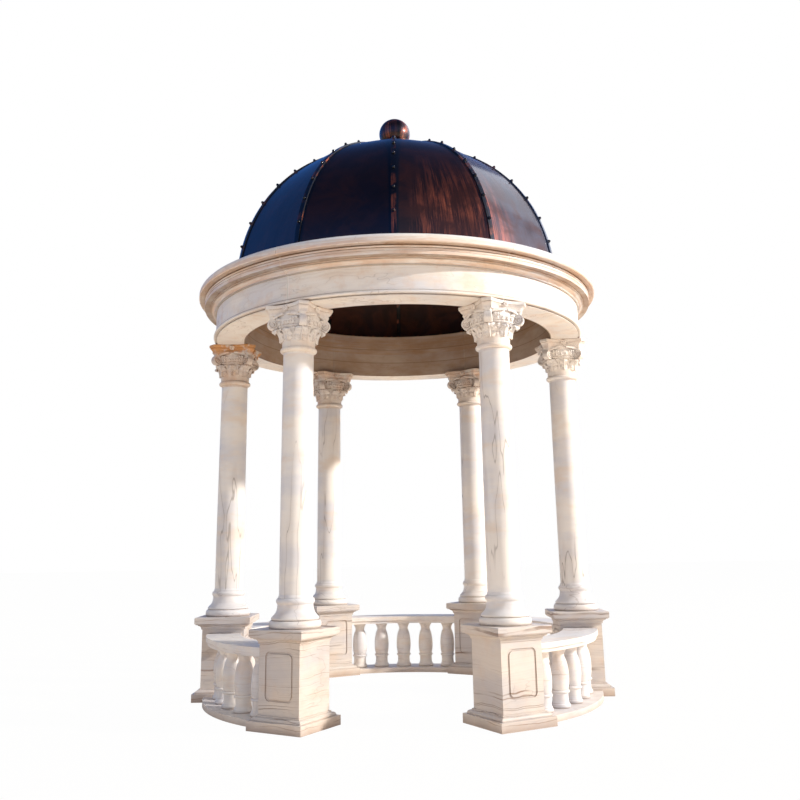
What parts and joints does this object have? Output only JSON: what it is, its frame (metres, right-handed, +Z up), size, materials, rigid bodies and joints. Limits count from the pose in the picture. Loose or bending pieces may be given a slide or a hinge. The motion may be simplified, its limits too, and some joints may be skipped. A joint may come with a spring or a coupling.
{
  "type": "marble gazebo",
  "caption": "Round open garden pavilion: marble columns on pedestals carry a moulded stone ring and a ribbed copper dome, with turned balustrades and an open entry bay.",
  "frame": {"origin": "ground level on the vertical centre line of the gazebo, at the centre of the column circle", "axes": "+Z is up and is the longest direction; -Y faces the open entry bay, between the two front columns; +X is to the right seen from the entry"},
  "size_m": [4.09, 4.09, 6.0257],
  "materials": {
    "marble": "matte",
    "copper": "satin"
  },
  "bodies": {
    "root": {"pedestal_front_left": "marble", "column_shaft_front_left": "marble", "capital_front_left": "marble", "pedestal_front_right": "marble", "column_shaft_front_right": "marble", "capital_front_right": "marble", "pedestal_right": "marble", "column_shaft_right": "marble", "capital_right": "marble", "pedestal_back_right": "marble", "column_shaft_back_right": "marble", "capital_back_right": "marble", "pedestal_back_left": "marble", "column_shaft_back_left": "marble", "capital_back_left": "marble", "pedestal_left": "marble", "column_shaft_left": "marble", "capital_left": "marble", "column_bases": "marble", "frieze_front": "marble", "frieze_near_right": "marble", "frieze_far_right": "marble", "frieze_back": "marble", "frieze_far_left": "marble", "frieze_near_left": "marble", "cornice_front": "marble", "cornice_near_right": "marble", "cornice_far_right": "marble", "cornice_back": "marble", "cornice_far_left": "marble", "cornice_near_left": "marble", "hand_rail_near_right": "marble", "hand_rail_far_right": "marble", "hand_rail_back": "marble", "hand_rail_far_left": "marble", "hand_rail_near_left": "marble", "balusters_near_right": "marble", "balusters_far_right": "marble", "balusters_back": "marble", "balusters_far_left": "marble", "balusters_near_left": "marble", "base_rails": "marble", "dome_foot_ring": "copper", "dome_seams": "copper", "dome_panels": "copper", "dome_crown": "copper", "ball_finial": "copper"}
  },
  "joints": []
}
